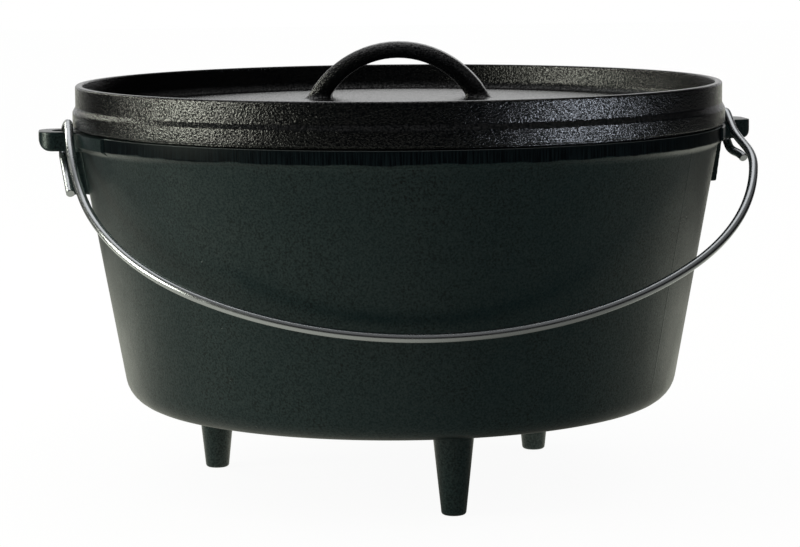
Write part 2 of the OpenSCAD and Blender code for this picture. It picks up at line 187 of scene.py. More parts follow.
class BailSettings(bpy.types.PropertyGroup):
    """Sizes of the wire bail"""
    wire_d: size("Wire", "Diameter of the wire", 4.4)
    half_w: size("Half width", "Half the width between the bail's legs", 166.3)
    drop: size("Drop", "Length of the bail from its hinge line", 170.4)
    middle_r: size("Middle radius", "Radius of the bail's middle", 185.9)
    shoulder_r: size("Shoulder radius", "Radius of the bail's shoulders", 133.7)
    hook_r: size("Hook radius", "Radius of a hook round its bar", 8.61)
    hook_step: size("Hook step", "Sideways step from a leg to its hook's tail", 2.6)
    left_tail: size("Left tail", "Length of the left hook's straight tail", 32)
    tail_lean: size("Tail lean", "How far that tail's end leans in towards the pot", 2.3)
    right_tail: size("Right tail", "Length of the right tail before it kicks out", 3)
    kick_r: size("Kick radius", "Radius of the right tail's two bends", 8)
    kick_out: turn("Kick out", "Turn of the right tail outwards", 48)
    kick_back: turn("Kick back", "Turn of the right tail back", 42)
    shift: size("Shift", "How far the bail has slid to the right in its eyes", 0.4)
    sway: size("Sway", "How far the loop is bent to the right", 2.8)
    sway_start: size("Sway start", "Distance from the hinge line where that bend starts", 10)
    sway_run: size("Sway run", "Length over which the loop bends and twists", 45)
    twist: turn("Twist", "Turn of the loop out of its plane, right side up", 2.7)
    hang: turn("Hang", "Angle of the hanging bail below level", 31)
    end_edge: size("End edge", "Chamfer round the wire's cut ends", 0.35)
    sides: IntProperty(name="Sides", description="Facets round the wire", default=28, min=8)


class FinishSettings(bpy.types.PropertyGroup):
    """Colours and grain of the finishes"""
    pot_iron: colour("Pot iron", "Seasoned iron of the pot", "#021214")
    pot_haze: colour("Pot haze", "Thicker, greener oil on the pot", "#04191a")
    pot_speck: colour("Pot specks", "Bottom of the specks in the pot's skin", "#020505")
    oil_tint: colour("Oil tint", "Tint of the light that the pot's oil mirrors", "#effcf9")
    band_iron: colour("Band iron", "Ground iron of the rim band under its oil", "#020406")
    band_mark: colour("Band marks", "Lighter marks of the grinder on that band", "#091012")
    bare_iron: colour("Bare iron", "Iron worn bare along the rim's edge", "#6a6f70")
    lid_iron: colour("Lid iron", "Seasoned iron of the lid", "#020304")
    wire_steel: colour("Wire", "Bright drawn steel", "#d2d6d9")
    pot_grain: size("Pot grain", "Width of the pot's sand grain", 1.0)
    lid_grain: size("Lid grain", "Width of the lid's sand grain", 0.9)


class StageSettings(bpy.types.PropertyGroup):
    """Camera and lights"""
    camera_place: FloatVectorProperty(name="Camera", description="Place of the camera", size=3,
                                      default=(-0.2079, -1.3912, 0.2829), subtype="TRANSLATION")
    camera_pitch: turn("Camera pitch", "How far the camera looks down", 7.25)
    camera_heading: turn("Camera heading", "Turn of the camera about the upright", -8.5)
    camera_roll: turn("Camera roll", "Turn of the camera about its own axis", -0.435)
    lens: FloatProperty(name="Lens", description="Focal length on a sensor 36 mm wide",
                        default=125.67, unit="CAMERA")
    paper: colour("Paper", "White paper under the oven", "#f4f4f2")
    left_light: colour("Left light", "Warm light of the left bank", "#f9faea")
    right_light: colour("Right light", "Cool light of the right bank", "#e9f1ff")


# Mesh helpers

def wrapped(angle):
    """The same angle, within half a turn of 0."""
    return (angle + math.pi) % (2 * math.pi) - math.pi


def rounded(corners, closed=False, steps=8):
    """A flat path through corners (x, y, radius), each rounded by an arc of its radius."""
    path = []
    for i, (x, y, r) in enumerate(corners):
        here = Vector((x, y))
        if r == 0 or (not closed and i in (0, len(corners) - 1)):
            path.append(here)
            continue
        back = (Vector(corners[i - 1][:2]) - here).normalized()
        on = (Vector(corners[(i + 1) % len(corners)][:2]) - here).normalized()
        half = back.angle(on) / 2
        centre = here + (back + on).normalized() * r / math.sin(half)
        first = here + back * r / math.tan(half) - centre
        last = here + on * r / math.tan(half) - centre
        start = math.atan2(first.y, first.x)
        sweep = wrapped(math.atan2(last.y, last.x) - start)
        for k in range(steps + 1):
            a = start + sweep * k / steps
            path.append(centre + r * Vector((math.cos(a), math.sin(a))))
    return path


def filled_in(path, longest):
    """The same path with points added so that no step is longer than that."""
    out = [path[0]]
    for a, b in zip(path, path[1:]):
        n = max(1, math.ceil((b - a).length / longest))
        out += [a.lerp(b, k / n) for k in range(1, n + 1)]
    return out


def new_object(name, bm):
    """An object of a bmesh, which is used up, with its normals outwards."""
    bmesh.ops.remove_doubles(bm, verts=bm.verts, dist=TOUCH)
    bmesh.ops.recalc_face_normals(bm, faces=bm.faces)
    mesh = bpy.data.meshes.new(name)
    bm.to_mesh(mesh)
    bm.free()
    piece = bpy.data.objects.new(name, mesh)
    bpy.context.scene.collection.objects.link(piece)
    return piece


def lathed(name, path, angles, proud=None):
    """A closed turned solid from a path of (radius, height) that starts and ends on the axis."""
    bm = bmesh.new()
    rings = []
    for r, z in path:
        if r < TOUCH:
            rings.append([bm.verts.new((0, 0, z))])
            continue
        ring = []
        for a in angles:
            out = r + (proud(r, z, a) if proud else 0)
            ring.append(bm.verts.new((out * math.cos(a), out * math.sin(a), z)))
        rings.append(ring)
    for low, high in zip(rings, rings[1:]):
        for k in range(len(angles)):
            j = (k + 1) % len(angles)
            corners = [low[k % len(low)], low[j % len(low)],
                       high[j % len(high)], high[k % len(high)]]
            bm.faces.new(list(dict.fromkeys(corners)))
    return new_object(name, bm)


def around(count):
    """Angles spaced evenly round a circle."""
    return [2 * math.pi * k / count for k in range(count)]


def loft(name, sections):
    """A closed solid through like-sized closed sections of 3-D points, capped at both ends."""
    bm = bmesh.new()
    rings = [[bm.verts.new(p) for p in section] for section in sections]
    for low, high in zip(rings, rings[1:]):
        for k in range(len(low)):
            j = (k + 1) % len(low)
            bm.faces.new((low[k], low[j], high[j], high[k]))
    bm.faces.new(rings[0])
    bm.faces.new(rings[-1])
    return new_object(name, bm)


def combined(piece, others, operation):
    """piece with the other solids joined to it or cut from it, which are used up."""
    for other in others:
        cut = piece.modifiers.new("solid", "BOOLEAN")
        cut.operation = operation
        cut.solver = "MANIFOLD"
        cut.object = other
    return with_modifiers_applied(piece, others)


def with_modifiers_applied(piece, used_up=()):
    """piece with its modifiers in its mesh, and without the objects that they used up."""
    bpy.context.view_layer.update()
    made = piece.evaluated_get(bpy.context.evaluated_depsgraph_get())
    mesh = bpy.data.meshes.new_from_object(made)
    piece.modifiers.clear()
    old = piece.data
    piece.data = mesh
    bpy.data.meshes.remove(old)
    mesh.name = piece.name
    for other in used_up:
        bpy.data.meshes.remove(other.data)
    return piece


def finished(piece, body, node, material, sharp=38):
    """Shades a piece, gives it its material and puts it in its CAD node's place."""
    piece.data.shade_smooth()
    piece.data.set_sharp_from_angle(angle=math.radians(sharp))
    piece.data.materials.clear()
    piece.data.materials.append(material)
    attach(piece, body)
    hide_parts(node)


# Materials

def add_node(tree, kind, settings=None, inputs=None):
    """A shader node with its settings; an input is a value or a socket to link from."""
    node = tree.nodes.new("ShaderNode" + kind)
    for name, value in (settings or {}).items():
        setattr(node, name, value)
    for name, value in (inputs or {}).items():
        if isinstance(value, bpy.types.NodeSocket):
            tree.links.new(value, node.inputs[name])
        else:
            node.inputs[name].default_value = value
    return node


def new_material(name):
    """An empty node material and its tree."""
    material = bpy.data.materials.new(name)
    material.use_nodes = True
    material.node_tree.nodes.clear()
    return material, material.node_tree


# Node settings that come up again and again
RGBA, FLOAT = {"data_type": "RGBA"}, {"data_type": "FLOAT"}
SMOOTH = {"interpolation_type": "SMOOTHSTEP"}
MULTIPLY, MAXIMUM = {"operation": "MULTIPLY"}, {"operation": "MAXIMUM"}
DOT_PRODUCT = {"operation": "DOT_PRODUCT"}


def ground_band(tree, pot, place, xyz, swells):
    """Two masks: the rim's outside clear of the iron beside the lugs, and the ground band on it."""
    # The band's lower edge wanders with the swells
    edge = add_node(tree, "Math", {"operation": "MULTIPLY_ADD"}, {
        0: swells, 1: 3 * MM, 2: xyz["Z"]})
    band_z = pot.rim_z - pot.rim_h
    high = add_node(tree, "MapRange", inputs={
        "Value": edge.outputs["Value"],
        "From Min": band_z + 1.2 * MM, "From Max": band_z + 1.8 * MM})
    aside = add_node(tree, "Math", {"operation": "ABSOLUTE"}, {0: xyz["Y"]})
    pad_y = pot.rim_r * math.sin(pot.pad_end)
    past_pad = add_node(tree, "MapRange", inputs={
        "Value": aside.outputs["Value"],
        "From Min": pad_y - 0.5 * MM, "From Max": pad_y + 0.5 * MM})
    flat = add_node(tree, "VectorMath", MULTIPLY, {0: place, 1: (1, 1, 0)})
    from_axis = add_node(tree, "VectorMath", {"operation": "LENGTH"}, {0: flat.outputs["Vector"]})
    outside = add_node(tree, "MapRange", inputs={
        "Value": from_axis.outputs["Value"],
        "From Min": pot.rim_r - 0.9 * MM, "From Max": pot.rim_r - 0.7 * MM})
    clear = add_node(tree, "Math", MULTIPLY, {
        0: past_pad.outputs["Result"], 1: outside.outputs["Result"]}).outputs["Value"]
    ground = add_node(tree, "Math", MULTIPLY, {0: high.outputs["Result"], 1: clear})
    return clear, ground.outputs["Value"]


def seasoned_pot_iron(finish, pot):
    """Sand-cast iron with a baked-on film of oil: near black with a green-grey haze, satin, faintly
    grained and pitted, and ground smooth with upright grinder marks on the rim band."""
    material, tree = new_material("seasoned_pot_iron")
    place = add_node(tree, "TexCoord").outputs["Object"]
    xyz = add_node(tree, "SeparateXYZ", inputs={"Vector": place}).outputs

    # Patches of thicker oil, about 25 mm across
    patches = add_node(tree, "TexNoise", inputs={
        "Vector": place, "Scale": 1 / (25 * MM), "Detail": 4, "Roughness": 0.6}).outputs["Fac"]
    oil = add_node(tree, "Mix", RGBA, {
        "Factor": patches, "A": (*finish.pot_iron, 1), "B": (*finish.pot_haze, 1)})
    oil_rough = add_node(tree, "MapRange", inputs={
        "Value": patches, "From Min": 0.3, "From Max": 0.7, "To Min": 0.28, "To Max": 0.36})

    # Sand grain, drawn a little coarser than the real 0.5 mm so that it shows
    grain = add_node(tree, "TexNoise", inputs={
        "Vector": place, "Scale": 1 / finish.pot_grain,
        "Detail": 3, "Roughness": 0.65}).outputs["Fac"]
    # Specks where the film is broken, thicker in some patches than in others
    broken = add_node(tree, "MapRange", inputs={
        "Value": grain, "From Min": 0.36, "From Max": 0.48, "To Min": 1, "To Max": 0})
    crowd = add_node(tree, "MapRange", inputs={
        "Value": patches, "From Min": 0.4, "From Max": 0.6, "To Min": 0.3, "To Max": 1})
    speck = add_node(tree, "Math", MULTIPLY, {
        0: broken.outputs["Result"], 1: crowd.outputs["Result"]})
    skin = add_node(tree, "Mix", RGBA, {
        "Factor": speck.outputs["Value"],
        "A": oil.outputs["Result"], "B": (*finish.pot_speck, 1)})
    # Scattered pits 1 mm across, one in about every 15 mm
    pits = add_node(tree, "TexVoronoi", inputs={"Vector": place, "Scale": 1 / (15 * MM)})
    pit = add_node(tree, "MapRange", SMOOTH, {
        "Value": pits.outputs["Distance"], "From Min": 0.02, "From Max": 0.06})
    # Slow swells left by the mould, about 14 mm across
    swells = add_node(tree, "TexNoise", inputs={
        "Vector": place, "Scale": 1 / (14 * MM), "Detail": 2}).outputs["Fac"]

    # Grinder marks: fine upright lines round the rim band, 0.8 mm apart and 18 mm long
    angle = add_node(tree, "Math", {"operation": "ARCTAN2"}, {0: xyz["Y"], 1: xyz["X"]})
    along = add_node(tree, "Math", MULTIPLY, {0: angle.outputs["Value"], 1: pot.rim_r / (0.8 * MM)})
    up = add_node(tree, "Math", MULTIPLY, {0: xyz["Z"], 1: 1 / (18 * MM)})
    lined = add_node(tree, "CombineXYZ", inputs={
        "X": along.outputs["Value"], "Y": up.outputs["Value"]})
    marks = add_node(tree, "TexNoise", {"noise_dimensions": "2D"}, {
        "Vector": lined.outputs["Vector"], "Scale": 1, "Detail": 3}).outputs["Fac"]
    clear, ground = ground_band(tree, pot, place, xyz, swells)

    # The band is darker than the skin, striped by those marks, and bare along its top edge
    stripe = add_node(tree, "MapRange", inputs={"Value": marks, "From Min": 0.4, "From Max": 0.65})
    striped = add_node(tree, "Mix", RGBA, {
        "Factor": stripe.outputs["Result"],
        "A": (*finish.band_iron, 1), "B": (*finish.band_mark, 1)})
    banded = add_node(tree, "Mix", RGBA, {
        "Factor": ground, "A": skin.outputs["Result"], "B": striped.outputs["Result"]})
    edge_z = pot.rim_z - 0.5 * MM
    top = add_node(tree, "MapRange", inputs={
        "Value": xyz["Z"], "From Min": edge_z, "From Max": edge_z + 0.2 * MM})
    bare = add_node(tree, "Math", MULTIPLY, {
        0: top.outputs["Result"], 1: clear}).outputs["Value"]
    base = add_node(tree, "Mix", RGBA, {
        "Factor": bare, "A": banded.outputs["Result"], "B": (*finish.bare_iron, 1)})
    rough = add_node(tree, "Mix", FLOAT, {
        "Factor": ground, "A": oil_rough.outputs["Result"], "B": 0.36})
    # The oil shines on the grains, less between them and hardly on the band
    oiled = add_node(tree, "MapRange", inputs={
        "Value": grain, "From Min": 0.38, "From Max": 0.62, "To Min": 0.3, "To Max": 0.65})
    shine = add_node(tree, "Mix", FLOAT, {
        "Factor": ground, "A": oiled.outputs["Result"], "B": 0.03})

    # Relief and its depth: the swells, the pits, and the grain or the grinder's marks
    fine = add_node(tree, "Mix", FLOAT, {"Factor": ground, "A": grain, "B": marks})
    relief = {}
    for height, depth in ((swells, 0.12 * MM), (pit.outputs["Result"], 0.12 * MM),
                          (fine.outputs["Result"], 0.09 * MM)):
        bump = add_node(tree, "Bump", inputs={
            "Height": height, "Strength": 1, "Distance": depth, **relief})
        relief = {"Normal": bump.outputs["Normal"]}

    shader = add_node(tree, "BsdfPrincipled", inputs={
        "Base Color": base.outputs["Result"], "Roughness": rough.outputs["Result"],
        "Metallic": bare, "IOR": 1.5, "Specular IOR Level": shine.outputs["Result"],
        "Specular Tint": (*finish.oil_tint, 1), **relief})
    add_node(tree, "OutputMaterial", inputs={"Surface": shader.outputs["BSDF"]})
    return material


def seasoned_lid_iron(finish):
    """The same iron with a deeper sand grain and more oil: black, pebbled, and glossy enough that
    every pebble takes its own spark of light."""
    material, tree = new_material("seasoned_lid_iron")
    place = add_node(tree, "TexCoord").outputs["Object"]
    pebbles = add_node(tree, "TexNoise", inputs={
        "Vector": place, "Scale": 1 / finish.lid_grain, "Detail": 2, "Roughness": 0.55})
    # Oil shines on the pebbles and not in the crevices between them
    shine = add_node(tree, "MapRange", inputs={
        "Value": pebbles.outputs["Fac"], "From Min": 0.38, "From Max": 0.62,
        "To Min": 0.06, "To Max": 1})
    # The plate's flat top has been scraped smoother than the walls
    facing = add_node(tree, "NewGeometry").outputs["True Normal"]
    upward = add_node(tree, "SeparateXYZ", inputs={"Vector": facing}).outputs["Z"]
    scraped = add_node(tree, "MapRange", SMOOTH, {
        "Value": upward, "From Min": 0.75, "From Max": 0.97}).outputs["Result"]
    rough = add_node(tree, "MapRange", inputs={"Value": scraped, "To Min": 0.22, "To Max": 0.26})
    depth = add_node(tree, "MapRange", inputs={
        "Value": scraped, "To Min": 0.33 * MM, "To Max": 0.07 * MM})
    bump = add_node(tree, "Bump", inputs={
        "Height": pebbles.outputs["Fac"], "Strength": 1, "Distance": depth.outputs["Result"]})
    shader = add_node(tree, "BsdfPrincipled", inputs={
        "Base Color": (*finish.lid_iron, 1), "Roughness": rough.outputs["Result"],
        "IOR": 1.5, "Specular IOR Level": shine.outputs["Result"],
        "Normal": bump.outputs["Normal"]})
    add_node(tree, "OutputMaterial", inputs={"Surface": shader.outputs["BSDF"]})
    return material


def bright_drawn_steel(finish):
    """Cold-drawn steel wire with a thin bright plating: a satin shine, cloudy in patches."""
    material, tree = new_material("bright_drawn_steel")
    place = add_node(tree, "TexCoord").outputs["Object"]
    # Cloudy patches, about 9 mm long
    cloud = add_node(tree, "TexNoise", inputs={
        "Vector": place, "Scale": 1 / (9 * MM), "Detail": 4, "Roughness": 0.6})
    rough = add_node(tree, "MapRange", inputs={
        "Value": cloud.outputs["Fac"], "From Min": 0.3, "From Max": 0.7,
        "To Min": 0.2, "To Max": 0.3})
    shader = add_node(tree, "BsdfPrincipled", inputs={
        "Base Color": (*finish.wire_steel, 1), "Metallic": 1,
        "Roughness": rough.outputs["Result"]})
    add_node(tree, "OutputMaterial", inputs={"Surface": shader.outputs["BSDF"]})
    return material


# The pot

def pot_path(pot):
    """The pot's section: from the middle of its bottom, up the outside and down the inside."""
    lean = math.tan(pot.wall_lean)
    band_z = pot.rim_z - pot.rim_h
    foot_r = pot.rim_r - pot.rim_proud - (band_z - pot.leg_h) * lean
    inner_foot_r = foot_r - pot.wall_t / math.cos(pot.wall_lean)
    floor_z = pot.leg_h + pot.floor_t
    return rounded([
        (0, pot.leg_h, 0),
        (foot_r, pot.leg_h, pot.corner_r),
        (pot.rim_r - pot.rim_proud - pot.blend_h * lean, band_z - pot.blend_h, pot.blend_r),
        (pot.rim_r, band_z, pot.band_edge_r),
        (pot.rim_r, pot.rim_z, pot.rim_edge_r),
        (inner_foot_r + (pot.rim_z - pot.leg_h) * lean, pot.rim_z, pot.rim_edge_r),
        (inner_foot_r + pot.floor_t * lean, floor_z, pot.inner_corner_r),
        (0, floor_z, 0)])


def pot_body(pot):
    """The turned body, with the mould's seam down two sides and the iron left beside the lugs."""
    sides = [0, math.pi]
    seams = [side - pot.seam_turn for side in sides]
    # Extra columns of points where the seams and the ends of that iron are
    angles = around(POT_SIDES)
    for seam in seams:
        angles += [seam + k * pot.seam_half / 3 / pot.rim_r for k in range(-4, 5)]
    for side in sides:
        for end in (-pot.pad_end, pot.pad_end):
            angles += [side + end + k * pot.pad_fade / 4 / pot.rim_r for k in range(-3, 4)]
    angles = sorted(a % (2 * math.pi) for a in angles)
    band_z = pot.rim_z - pot.rim_h
    wall_r = pot.rim_r - pot.rim_proud
    slack = 1 * MM

    def proud(r, z, a):
        inside = r <= wall_r - (pot.rim_z - z) * math.tan(pot.wall_lean) - slack
        if inside or z < pot.leg_h + pot.corner_r:
            return 0
        if z > band_z - pot.blend_h:
            if r < wall_r - slack:
                return 0
            from_lug = min(abs(wrapped(a - side)) for side in sides)
            past = (from_lug - pot.pad_end) * pot.rim_r
            height = min(1, (z - band_z + pot.blend_h) / pot.blend_h,
                         (pot.rim_z - z) / pot.rim_edge_r)
            return pot.pad_proud * height * min(1, max(0, 0.5 - past / pot.pad_fade))
        near = min(abs(wrapped(a - seam)) for seam in seams)
        return pot.seam_proud * max(0, 1 - (near * pot.rim_r / pot.seam_half) ** 2)

    return lathed("pot", filled_in(pot_path(pot), LONGEST_STEP), angles, proud)


def leg(pot, i):
    """One leg, turned, flaring into the bottom of the pot."""
    top, foot = pot.leg_top_d / 2, pot.leg_foot_d / 2
    # The flare ends just inside the bottom, and the leg well inside
    sunk = 0.02 * MM
    path = rounded([
        (0, 0, 0), (foot, 0, pot.foot_edge_r), (top, pot.leg_h + sunk, pot.leg_blend_r),
        (top + 2 * pot.leg_blend_r, pot.leg_h + sunk, 0),
        (top, pot.leg_h + pot.floor_t / 2, 0), (0, pot.leg_h + pot.floor_t / 2, 0)])
    piece = lathed("leg", path, around(LEG_SIDES))
    a = pot.leg_turn + math.radians(120 * i - 90)
    piece.data.transform(Matrix.Translation(
        (pot.leg_circle_r * math.cos(a), pot.leg_circle_r * math.sin(a), 0)))
    return piece


def prism(name, outline, low, high, place):
    """A flat outline pushed from one level to another, each point put in place by a function."""
    return loft(name, [[place(x, y, level) for x, y in outline] for level in (low, high)])


def lug(pot, side):
    """One lug with its eye and rib on a patch of wall, its edges and roots softened by casting."""
    half, root_r = pot.lug_w / 2, pot.lug_root_r
    root_y = half + root_r
    pad_r = pot.rim_r + pot.pad_proud
    root_x = math.sqrt((pad_r + root_r) ** 2 - root_y ** 2)
    touch = pad_r / (pad_r + root_r)
    sunk_x = pot.rim_r - pot.wall_t / 2
    start = math.atan2(root_y * (touch - 1), root_x * (touch - 1))
    flare = []
    for k in range(FLARE_STEPS + 1):
        a = start + (-math.pi / 2 - start) * k / FLARE_STEPS
        flare.append((root_x + root_r * math.cos(a), root_y + root_r * math.sin(a)))
    tip = rounded([(root_x, half, 0), (pot.tip_x, half, pot.lug_corner_r),
                   (pot.tip_x, -half, pot.lug_corner_r), (root_x, -half, 0)])[1:-1]
    plan = [(sunk_x, root_y * touch), *flare, *[(p.x, p.y) for p in tip],
            *[(x, -y) for x, y in reversed(flare)], (sunk_x, -root_y * touch)]
    lug_z = pot.rim_z - pot.lug_t
    piece = prism("lug", plan, lug_z, pot.rim_z, lambda x, y, z: (side * x, y, z))

    # Its underside is rounded towards the tip
    beyond = 5 * MM
    outline = rounded([
        (sunk_x - beyond, lug_z, 0), (pot.tip_x, lug_z, pot.lug_under_r),
        (pot.tip_x, pot.rim_z, 0), (sunk_x - beyond, pot.rim_z, 0)], closed=True)
    span = root_y + beyond
    profile = prism("profile", outline, -span, span, lambda x, z, y: (side * x, y, z))
    combined(piece, [profile], "INTERSECT")

    eye = lathed("eye", [Vector(p) for p in (
        (0, lug_z - beyond), (pot.eye_d / 2, lug_z - beyond),
        (pot.eye_d / 2, pot.rim_z + beyond), (0, pot.rim_z + beyond))], around(EYE_SIDES))
    eye.data.transform(Matrix.Translation((side * pot.eye_x, 0, 0)))
    combined(piece, [eye], "DIFFERENCE")

    lean = math.tan(pot.wall_lean)
    rib_foot_z = lug_z - pot.rib_h
    wall_r = pot.rim_r - pot.rim_proud
    # The rib goes into the wall behind it and up into its lug
    rib_top_z, bury, over = lug_z + pot.lug_t / 3, 3 * MM, 6 * MM
    rib_outline = rounded([
        (wall_r - pot.rib_h * lean - bury, rib_foot_z, 0),
        (pot.rim_r + pot.rib_foot, rib_foot_z, pot.rib_edge_r),
        (pot.rim_r + pot.rib_top, lug_z, pot.rib_root_r),
        (pot.rim_r + pot.rib_top + over, lug_z, 0),
        (pot.rim_r + pot.rib_top + over, rib_top_z, 0),
        (wall_r - bury, rib_top_z, 0)])
    rib = prism("rib", rib_outline, pot.rib_y, pot.rib_y + pot.rib_t,
                lambda x, z, y: (side * x, y, z))

    # The patch lies just under the wall's skin, so that only the roots of lug and rib show
    band_z = pot.rim_z - pot.rim_h
    under, below, pad_edge, inside = 0.22 * MM, 8 * MM, 0.8 * MM, 1 * MM
    low_z = rib_foot_z - below
    patch = [
        (wall_r - (band_z - low_z) * lean - under, low_z),
        (wall_r - pot.blend_h * lean - under, band_z - pot.blend_h),
        (pad_r - under, band_z), (pad_r - under, pot.rim_z - pad_edge),
        (pot.rim_r - under, pot.rim_z - under),
        (pot.rim_r - pot.wall_t + pot.rim_edge_r, pot.rim_z - under),
        (wall_r - (band_z - low_z) * lean - pot.wall_t + inside, low_z)]
    reach = math.radians(10)
    wall = loft("wall", [
        [(side * r * math.cos(a), r * math.sin(a), z) for r, z in patch]
        for a in (reach * k / WALL_STEPS for k in range(-WALL_STEPS, WALL_STEPS + 1))])
    combined(piece, [rib, wall], "UNION")

    # A fine even grid, smoothed, rounds each edge and fills each root
    grid = piece.modifiers.new("grid", "REMESH")
    grid.mode = "VOXEL"
    grid.voxel_size = 0.55 * MM
    soften = piece.modifiers.new("soften", "SMOOTH")
    soften.factor = 0.5
    soften.iterations = 7
    return with_modifiers_applied(piece)


class OVEN_OT_pot(bpy.types.Operator):
    """Builds the pot casting: body, legs, lugs and ribs in one"""
    bl_idname = "oven.pot"
    bl_label = "Pot"

    def execute(self, context):
        pot = context.scene.oven_pot
        piece = pot_body(pot)
        combined(piece, [leg(pot, i) for i in range(3)], "UNION")
        combined(piece, [lug(pot, side) for side in (-1, 1)], "UNION")
        piece.name = "pot_casting"
        finished(piece, "pot", "pot",
                 seasoned_pot_iron(context.scene.oven_finish, pot))
        return {"FINISHED"}


# The lid

def dome(lid):
    """Edge radius of the dome, its radius of curvature and the level of its crown."""
    inner_r = lid.outer_r - lid.step - lid.lip_t
    tray_r = inner_r - lid.tray_depth * math.tan(lid.lip_lean)
    edge_r = tray_r - lid.tray_corner_r
    curve_r = (edge_r ** 2 + lid.dome_h ** 2) / (2 * lid.dome_h)
    return edge_r, curve_r, lid.lip_z - lid.tray_depth + lid.dome_h


def lid_path(lid):
    """The lid's section: over the plate and the lip, down the outside and back underneath."""
    edge_r, curve_r, crown_z = dome(lid)
    tray_z = lid.lip_z - lid.tray_depth
    upper_r = lid.outer_r - lid.step
    inner_r = upper_r - lid.lip_t
    tray_r = edge_r + lid.tray_corner_r

    def sag(r):
        return curve_r - math.sqrt(curve_r ** 2 - r ** 2)

    def arc(last_r, level, steps):
        radii = [last_r * k / steps for k in range(steps + 1)]
        return [(r, level - sag(r), 0) for r in radii]

    top = arc(edge_r, crown_z, PLATE_STEPS)
    ring_in_r = lid.ring_foot_r - lid.ring_t
    ring_z = lid.seat_z - lid.ring_h
    under = arc(ring_in_r - lid.ring_t, crown_z - lid.plate_t, UNDER_STEPS)
    # The step is a slope from a little below its level to more above it
    slope_low, slope_high = lid.step_z - 0.5 * lid.step, lid.step_z + 1.3 * lid.step
    return rounded([
        *top,
        (tray_r, tray_z, lid.tray_corner_r),
        (inner_r, lid.lip_z, lid.lip_in_r),
        (upper_r, lid.lip_z, lid.lip_out_r),
        (upper_r, slope_high, lid.step_r),
        (lid.outer_r, slope_low, lid.step_r),
        (lid.outer_r, lid.edge_z, lid.wall_edge_r),
        (lid.seat_r, lid.edge_z, lid.seat_root_r),
        (lid.seat_r, lid.seat_z, lid.seat_edge_r),
        (lid.ring_r, lid.seat_z, lid.ring_root_r),
        (lid.ring_foot_r, ring_z, lid.ring_edge_r),
        (ring_in_r, ring_z, lid.ring_edge_r),
        (ring_in_r, tray_z - lid.plate_t, lid.plate_root_r),
        *reversed(under)])


def lid_handle(lid):
    """The strap across the lid: an arch thicker at its feet, flaring into the plate."""
    _, curve_r, crown_z = dome(lid)
    outer_z = lid.grip_top_z - lid.grip_outer_r
    inner_z = lid.grip_top_z - lid.grip_t - lid.grip_inner_r
    # The feet end inside the plate
    foot_z = crown_z - 0.7 * lid.plate_t
    outer_end = math.acos((foot_z - outer_z) / lid.grip_outer_r)
    inner_end = math.acos((foot_z - inner_z) / lid.grip_inner_r)

    def plate_z(x, y):
        return crown_z - (x * x + y * y) / (2 * curve_r)

    # Sections lie closer together towards the feet, where the flare is
    sections = []
    for k in range(HANDLE_STEPS + 1):
        t = math.sin(math.pi / 2 * math.sin(math.pi / 2 * (2 * k / HANDLE_STEPS - 1)))
        out = Vector((lid.grip_outer_r * math.sin(t * outer_end),
                      outer_z + lid.grip_outer_r * math.cos(t * outer_end)))
        inn = Vector((lid.grip_inner_r * math.sin(t * inner_end),
                      inner_z + lid.grip_inner_r * math.cos(t * inner_end)))
        up = (out - inn).normalized()
        thick, half = (out - inn).length, lid.grip_w / 2
        shape = rounded([
            (-half, 0, lid.grip_inner_edge_r), (half, 0, lid.grip_inner_edge_r),
            (half, thick, lid.grip_edge_r), (-half, thick, lid.grip_edge_r)], closed=True, steps=6)
        middle = Vector((0, thick / 2))
        section = []
        for p in shape:
            place = inn + up * p.y
            height = max(0, place.y - plate_z(place.x, p.x))
            blend = max(0, lid.grip_blend_r - height)
            flare = lid.grip_blend_r - math.sqrt(max(0, lid.grip_blend_r ** 2 - blend ** 2))
            away = (p - middle).normalized() * flare
            place = place + up * away.y
            section.append((place.x, p.x + away.x, place.y))
        sections.append(section)
    piece = loft("handle", sections)
    piece.data.transform(Matrix.Rotation(-lid.grip_turn, 4, "Z"))
    return piece


class OVEN_OT_lid(bpy.types.Operator):
    """Builds the lid casting: plate, coal rim, centring ring and handle in one"""
    bl_idname = "oven.lid"
    bl_label = "Lid"

    def execute(self, context):
        lid = context.scene.oven_lid
        piece = lathed("lid", filled_in(lid_path(lid), LONGEST_STEP), around(LID_SIDES))
        combined(piece, [lid_handle(lid)], "UNION")
        piece.name = "lid_casting"
        finished(piece, "lid", "lid", seasoned_lid_iron(context.scene.oven_finish))
        return {"FINISHED"}


# The bail

def wire_half(bail):
    """Points from the bail's middle round its right shoulder, leg and hook, laid level."""
    tighten = bail.half_w - bail.shoulder_r
    rise = math.sqrt((bail.middle_r - bail.shoulder_r) ** 2 - tighten ** 2)
    leg_run = bail.drop - bail.middle_r + rise
    meet = math.atan2(rise, tighten)
    points = []
    for k in range(MIDDLE_STEPS):
        a = -math.pi / 2 + (math.pi / 2 - meet) * k / MIDDLE_STEPS
        points.append(Vector((
            bail.middle_r * math.cos(a),
            bail.middle_r - bail.drop + bail.middle_r * math.sin(a), bail.hook_r)))
    for k in range(SHOULDER_STEPS + 1):
        a = -meet * (1 - k / SHOULDER_STEPS)
        points.append(Vector((tighten + bail.shoulder_r * math.cos(a),
                              -leg_run + bail.shoulder_r * math.sin(a), bail.hook_r)))
    for k in range(1, LEG_STEPS):
        points.append(Vector((bail.half_w, -leg_run * (1 - k / LEG_STEPS), bail.hook_r)))
    tilt = math.atan(bail.hook_step / (2 * bail.hook_r))
    bend_r = bail.hook_r / math.cos(tilt)
    top = Vector((-math.sin(tilt), 0, math.cos(tilt)))
    middle = Vector((bail.half_w + bail.hook_step / 2, 0, 0))
    for k in range(HOOK_STEPS + 1):
        a = math.pi * k / HOOK_STEPS
        points.append(middle + bend_r * (math.cos(a) * top + math.sin(a) * Vector((0, 1, 0))))
    return points


